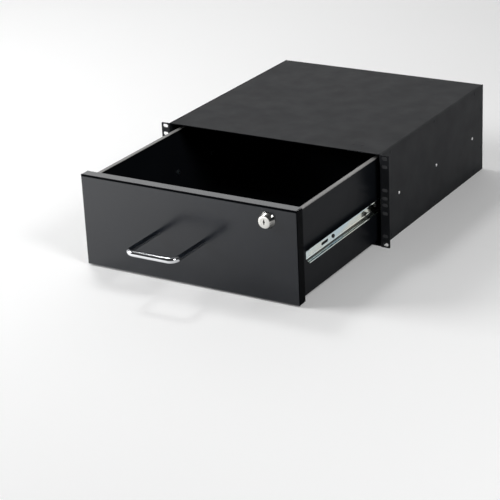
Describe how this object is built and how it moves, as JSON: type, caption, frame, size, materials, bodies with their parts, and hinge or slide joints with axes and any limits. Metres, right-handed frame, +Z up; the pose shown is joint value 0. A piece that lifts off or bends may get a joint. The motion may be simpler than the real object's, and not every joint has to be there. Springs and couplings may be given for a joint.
{
  "type": "sliding rack drawer",
  "caption": "Lockable steel drawer for a 19-inch equipment rack, with slotted ears, ball-bearing slides, a wire pull and a cam lock, standing open.",
  "frame": {"origin": "centre of the ear holes, on the back of the ears, where they meet the rack's rails", "axes": "+X to the right seen from the front, +Y into the rack, +Z up"},
  "size_m": [0.4826, 0.8423, 0.1773],
  "materials": {
    "housing_paint": "satin black powder coat",
    "tray_paint": "satin black powder coat",
    "panel_paint": "semi-gloss black powder coat",
    "blackened_rivet": "black",
    "rivet_steel": "bright zinc",
    "slide_steel": "bright zinc",
    "cage_steel": "plain rolled steel",
    "ball_steel": "polished bearing steel",
    "zinc_plate": "bright zinc",
    "bumper_rubber": "matte black",
    "pull_chrome": "polished chrome",
    "lock_nickel": "polished nickel"
  },
  "bodies": {
    "housing": {"housing_side_left": "housing_paint", "housing_side_right": "housing_paint", "top_cover": "housing_paint", "bottom_pan": "housing_paint", "back_panel": "housing_paint", "housing_rivets": "blackened_rivet", "lock_strike": "zinc_plate", "strike_rivets": "blackened_rivet", "cabinet_member_left": "slide_steel", "cabinet_member_right": "slide_steel", "cabinet_rivets": "rivet_steel", "slide_bumper_left": "bumper_rubber", "slide_bumper_right": "bumper_rubber"},
    "drawer": {"drawer_tray": "tray_paint", "inner_front": "tray_paint", "tray_back": "tray_paint", "front_panel": "panel_paint", "stud_nuts": "zinc_plate", "wire_pull": "pull_chrome", "pull_screws": "zinc_plate", "drawer_member_left": "slide_steel", "drawer_member_right": "slide_steel", "member_screws": "zinc_plate", "member_nuts": "zinc_plate", "lock_collar": "lock_nickel", "lock_barrel": "lock_nickel", "lock_nut": "zinc_plate"},
    "lock": {"lock_plug": "lock_nickel", "lock_cam": "zinc_plate", "cam_nut": "zinc_plate"},
    "cage_left": {"ball_cage_left": "cage_steel", "balls_left": "ball_steel"},
    "cage_right": {"ball_cage_right": "cage_steel", "balls_right": "ball_steel"}
  },
  "joints": [
    {"name": "drawer_slide", "type": "slide", "parent": "housing", "child": "drawer", "axis": [0, -1, 0], "range_m": [-0.295, 0.005]},
    {"name": "lock_turn", "type": "hinge", "parent": "drawer", "child": "lock", "pos_m": [0.162, -0.2965, 0.0615], "axis": [0, 1, 0], "range_deg": [0, 90]},
    {"name": "cage_left_slide", "type": "slide", "parent": "housing", "child": "cage_left", "axis": [0, -1, 0], "range_m": [-0.1475, 0.0025]},
    {"name": "cage_right_slide", "type": "slide", "parent": "housing", "child": "cage_right", "axis": [0, -1, 0], "range_m": [-0.1475, 0.0025]}
  ],
  "couplings": [
    {"joint": "cage_left_slide", "follows": "drawer_slide", "ratio": 0.5},
    {"joint": "cage_right_slide", "follows": "drawer_slide", "ratio": 0.5}
  ]
}
